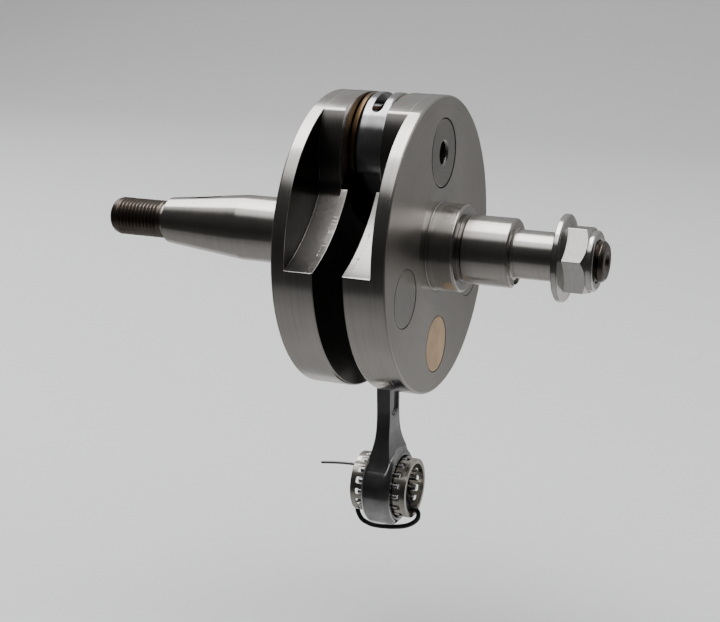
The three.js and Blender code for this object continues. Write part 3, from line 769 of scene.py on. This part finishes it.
def connecting_rod():
    small = (0.0, -ROD_LENGTH)
    shank = prism(both_sides(rod_outline()), -6, 6)
    combine(shank, [prism(both_sides(rod_side()), -20, 20, "xz")], "INTERSECT")
    combine(shank, [shank_hollow(-1), shank_hollow(1)])
    bevelled(tidied(shank), 0.55, 4, 40)
    combine(shank, [cylinder(-9, 9, (eye["bore"] + eye["radius"]) / 2, FINE, place)
                    for eye, place in ((BIG_EYE, (0.0, 0.0)), (SMALL_EYE, small))])
    big_eye, small_eye = eye_blank(BIG_EYE, (0, 0)), eye_blank(SMALL_EYE, small)
    combine(big_eye, [bore_tool(BIG_EYE, (0, 0)), oil_slot()])
    bevelled(tidied(big_eye), 0.22, 2, 50)
    combine(small_eye, [bore_tool(SMALL_EYE, small)])
    combine(shank, [big_eye, small_eye], "UNION")
    moved(shank, AT_BIG_END)
    return finish_piece(shank, "connecting_rod_detailed", "connecting_rod", "rod", "rod_steel", ROD_STEEL, 40)


# ---- bearings, washers and wire ------------------------------------------------------------------
def cage(bearing, prefix, place, body, slot, material):
    """A cage with one round-cornered window for each roller."""
    half = bearing["width"] / 2
    made = ring(-half, half, bearing["inner"], bearing["outer"], 0.25)
    length, width = bearing["window"]
    radius = min(0.5, width / 3)
    y, x = width / 2 - radius, length / 2 - radius
    corners = [((x, y), 0), ((-x, y), 1), ((-x, -y), 2), ((x, -y), 3)]
    outline = [p for c, q in corners for p in arc(c, radius, q * math.pi / 2, (q + 1) * math.pi / 2, 4)]
    for i in range(bearing["rollers"]):
        tool = prism(outline, bearing["pitch"] - 3, bearing["pitch"] + 3, "xy")
        combine(made, [moved(tool, Matrix.Rotation(2 * math.pi * i / bearing["rollers"], 4, "X"))])
    name = f"{prefix}_cage"
    return finish_piece(moved(made, place), f"{name}_detailed", name, body, slot, material)


def roller(bearing, prefix, index, place):
    half, radius = bearing["length"] / 2, bearing["roller"]
    profile = softened([(-half, 0.15), (-half, radius - 0.2), (-half + 0.2, radius), (half - 0.2, radius),
                        (half, radius - 0.2), (half, 0.15)], 0.12)
    angle = 2 * math.pi * index / bearing["rollers"]
    centre = (-bearing["pitch"] * math.sin(angle), bearing["pitch"] * math.cos(angle))
    node = f"{prefix}_roller_{index + 1:02d}"
    made = moved(lathe(profile, 28, centre), place)
    return finish_piece(made, f"{node}_detailed", node, node, "roller_steel", ROLLER_STEEL)


def thrust_washer(side_name):
    side = SIDES[side_name]
    a, b = sorted((side * WASHER["near"], side * WASHER["far"]))
    made = moved(ring(a, b, WASHER["inner"], WASHER["outer"]), AT_BIG_END)
    name = f"{side_name}_thrust_washer"
    return finish_piece(made, f"{name}_detailed", name, f"{side_name}_washer", "washer_bronze", WASHER_BRONZE)


def wire_route():
    """Half a turn inside the bore, then the loop that hangs outside and back into the bore."""
    mouth, in_bore = SMALL_BEARING["width"] / 2, WIRE["in_bore"]
    start, entry = WIRE["joint"] + 1.5, math.radians(WIRE["entry"])

    def inside(x, angle):
        return (x, in_bore * math.sin(angle), in_bore * math.cos(angle))

    wound = [inside(start + (mouth - 1.6 - start) * i / 8, entry + (math.pi - entry) * i / 8) for i in range(9)]
    loop = [
        (mouth + 0.2, 0, -6.85), (mouth + 1.2, 0, -8.2), (mouth + 0.9, 0, -10.2), (mouth - 1, 0, -12.1),
        (mouth - 4, 0, -13.5), (0, 0, -14.5), (4 - mouth, 0, -14.7), (0.6 - mouth, 0, -13.6),
        (-mouth - 0.9, 0, -11.4), (-mouth - 1.3, 0, -9), (-mouth - 0.2, 0, -6.85),
        (1.6 - mouth, 0, -in_bore), (3.6 - mouth, 0, -in_bore),
    ]
    return [inside(WIRE["joint"], entry), *wound, *loop]


def retaining_wire():
    made = moved(swept(wire_route(), WIRE["radius"]), AT_SMALL_END)
    name = "small_end_retaining_wire"
    return finish_piece(made, f"{name}_detailed", name, "rod", "wire_cover", WIRE_COVER, 60)


def bare_wire_end():
    joint, end = WIRE["joint"], WIRE["bare_end"]
    y = WIRE["in_bore"] * math.sin(math.radians(WIRE["entry"]))
    z = WIRE["in_bore"] * math.cos(math.radians(WIRE["entry"]))
    route = [(joint - 0.1, y, z), (joint - 4, y, z), ((joint + end) / 2 - 2, y, z - 0.4), (end, y, z - 1.1)]
    made = moved(swept(route, WIRE["bare_radius"]), AT_SMALL_END)
    name = "retaining_wire_bare_end"
    return finish_piece(made, f"{name}_detailed", name, "rod", "wire_core", WIRE_CORE, 60)


for side_name in SIDES:
    crank_half(side_name)
    thrust_washer(side_name)
    for which, plug_place in zip(("rear", "middle", "front"), plug_places()):
        balance_plug(side_name, which, plug_place)
crankpin()
flange_nut()
connecting_rod()
cage(BIG_BEARING, "big_end", AT_BIG_END, "big_end_cage", "cage_copper", BIG_CAGE_METAL)
cage(SMALL_BEARING, "small_end", AT_SMALL_END, "small_end_cage", "cage_silver", SMALL_CAGE_METAL)
for number in range(BIG_BEARING["rollers"]):
    roller(BIG_BEARING, "big_end", number, AT_BIG_END)
for number in range(SMALL_BEARING["rollers"]):
    roller(SMALL_BEARING, "small_end", number, AT_SMALL_END)
retaining_wire()
bare_wire_end()


# ---- floor, light and camera, in metres ----------------------------------------------------------
FLOOR = -0.125
SWEEP_FRONT, SWEEP_BACK, SWEEP_TOP, SWEEP_CURVE, SWEEP_HALF_WIDTH = -1.6, 0.9, 2.2, 0.5, 3.0
CAMERA_AZIMUTH, CAMERA_ELEVATION, CAMERA_DISTANCE, CAMERA_LENS = 21.8, 13.4, 0.425, 72.0
CAMERA_AIM = (-0.0085, 0.0, -0.0225)


def studio():
    """A pale sweep: a floor that curves up into a backdrop."""
    depth = [(SWEEP_FRONT, FLOOR), (SWEEP_BACK, FLOOR)]
    for a in (math.radians(5 * i) for i in range(1, 19)):
        depth.append((SWEEP_BACK + SWEEP_CURVE * math.sin(a), FLOOR + SWEEP_CURVE - SWEEP_CURVE * math.cos(a)))
    depth.append((SWEEP_BACK + SWEEP_CURVE, SWEEP_TOP))
    widths = [-SWEEP_HALF_WIDTH + 0.25 * i for i in range(25)]
    verts = [(x, y, z) for y, z in depth for x in widths]
    count = len(widths)
    faces = [(i * count + j, i * count + j + 1, (i + 1) * count + j + 1, (i + 1) * count + j)
             for i in range(len(depth) - 1) for j in range(count - 1)]
    mesh = bpy.data.meshes.new("studio_sweep")
    mesh.from_pydata(verts, [], faces)
    mesh.polygons.foreach_set("use_smooth", [True] * len(mesh.polygons))
    sweep = bpy.data.objects.new("studio_sweep", mesh)
    bpy.context.scene.collection.objects.link(sweep)
    n = Nodes("studio_paper")
    grain = n.noise(n.place(), 260.0, 4.0)
    # Painted shade: the paper is drawn darker towards the back and up the backdrop, standing in for light
    # falling off.
    depth_along = n.add("ShaderNodeSeparateXYZ", {0: n.place()}).outputs[1]
    far = n.spread(depth_along, 0.1, 1.3, 0.0, 1.0)
    lit_near_tone = n.mix(grain, colour(216, 217, 219), colour(222, 223, 225))
    shaded_far_tone = n.mix(grain, colour(176, 176, 178), colour(182, 182, 184))
    n.put(n.shader.inputs["Base Color"], n.mix(far, lit_near_tone, shaded_far_tone))
    n.put(n.shader.inputs["Roughness"], n.spread(grain, 0.3, 0.7, 0.75, 0.85))
    mesh.materials.append(n.material)
    sweep.visible_glossy = False


def softbox(name, place, size, power, tint=(1.0, 1.0, 1.0), mirrored_in_metal=False):
    """A rectangular light, turned towards the origin."""
    light = bpy.data.lights.new(name, "AREA")
    light.shape = "RECTANGLE"
    light.size, light.size_y = size
    light.energy = power
    light.color = tint
    made = bpy.data.objects.new(name, light)
    made.location = place
    made.visible_glossy = mirrored_in_metal
    made.rotation_euler = (-Vector(place)).to_track_quat("-Z", "Y").to_euler()
    bpy.context.scene.collection.objects.link(made)


# The room's brightness by the height of the direction, from straight down at 0 to straight up at 1.
ROOM_FRONT = (
    (0.0, 0.45), (0.1, 0.35), (0.25, 0.22), (0.3, 0.05), (0.5, 0.03), (0.84, 0.06), (0.92, 1.8), (1.0, 1.9),
)
ROOM_BACK = (
    (0.0, 0.4), (0.11, 0.4), (0.16, 0.8), (0.26, 0.7), (0.36, 0.3), (0.48, 0.24), (0.62, 0.4), (1.0, 0.55),
)


def surroundings():
    """The room that the metal reflects: light from above, dark in front, and a paler floor below and behind."""
    world = bpy.data.worlds.new("room")
    bpy.context.scene.world = world
    world.use_nodes = True
    tree = world.node_tree
    place = tree.nodes.new("ShaderNodeTexCoord")
    parts = tree.nodes.new("ShaderNodeSeparateXYZ")
    tree.links.new(place.outputs["Generated"], parts.inputs[0])

    def span(socket, low, high, kind):
        node = tree.nodes.new("ShaderNodeMapRange")
        node.interpolation_type = kind
        node.inputs["From Min"].default_value = low
        node.inputs["From Max"].default_value = high
        tree.links.new(socket, node.inputs[0])
        return node.outputs[0]

    height = span(parts.outputs[2], -1.0, 1.0, "LINEAR")
    ramps = []
    for stops in (ROOM_FRONT, ROOM_BACK):
        ramp = tree.nodes.new("ShaderNodeValToRGB")
        elements = ramp.color_ramp.elements
        ramp.color_ramp.interpolation = "EASE"
        for i, (at, value) in enumerate(stops):
            stop = elements[i] if i < 2 else elements.new(at)
            stop.position = at
            stop.color = (value, value * 0.995, value * 0.985, 1)
        tree.links.new(height, ramp.inputs[0])
        ramps.append(ramp.outputs[0])
    blend = tree.nodes.new("ShaderNodeMix")
    blend.data_type = "RGBA"
    tree.links.new(span(parts.outputs[1], 0.2, 0.42, "SMOOTHSTEP"), blend.inputs[0])
    tree.links.new(ramps[0], blend.inputs[6])
    tree.links.new(ramps[1], blend.inputs[7])
    tree.links.new(blend.outputs[2], tree.nodes["Background"].inputs[0])
    tree.nodes["Background"].inputs[1].default_value = 1.0


def camera():
    """The camera stands at the viewing angle, and aims near the middle of the object."""
    data = bpy.data.cameras.new("camera")
    data.sensor_width = 36.0
    data.lens = CAMERA_LENS
    made = bpy.data.objects.new("camera", data)
    azimuth, elevation = math.radians(CAMERA_AZIMUTH), math.radians(CAMERA_ELEVATION)
    flat = math.cos(elevation)
    towards = Vector((math.sin(azimuth) * flat, -math.cos(azimuth) * flat, math.sin(elevation)))
    made.location = towards * CAMERA_DISTANCE
    made.rotation_euler = (Vector(CAMERA_AIM) - made.location).to_track_quat("-Z", "Y").to_euler()
    data.clip_start, data.clip_end = 0.01, 20.0
    bpy.context.scene.collection.objects.link(made)
    bpy.context.scene.camera = made


studio()
surroundings()
softbox("overhead_softbox", (-0.45, 0.24, 1.0), (0.8, 1.4), 15.5, mirrored_in_metal=True)
softbox("left_softbox", (-1.15, -0.2, 0.6), (0.5, 0.8), 3.5, (1.0, 0.99, 0.97))
softbox("right_softbox", (1.1, 0.25, 0.55), (0.4, 0.8), 3.0)
camera()
